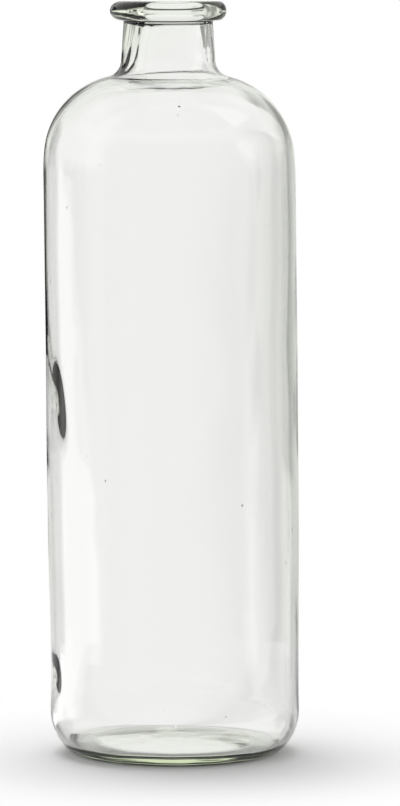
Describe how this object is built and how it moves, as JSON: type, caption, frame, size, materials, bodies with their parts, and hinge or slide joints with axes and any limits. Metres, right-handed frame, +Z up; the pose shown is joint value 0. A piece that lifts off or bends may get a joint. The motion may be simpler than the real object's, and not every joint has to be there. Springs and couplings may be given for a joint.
{
  "type": "bottle vase",
  "caption": "Tall clear glass bottle vase with a straight round body, domed shoulders, short narrow neck and a thick rolled lip, for flowers or single stems.",
  "frame": {"origin": "on the table plane, at the middle of the foot", "axes": "+Z up along the vase's own axis, through the mouth; the vase is a turned form, so X and Y are free"},
  "size_m": [0.14, 0.14, 0.42],
  "materials": {
    "glass": "clear glossy glass with a faint green tint"
  },
  "bodies": {
    "root": {"bottle": "glass", "lip_ring": "glass"}
  },
  "joints": []
}
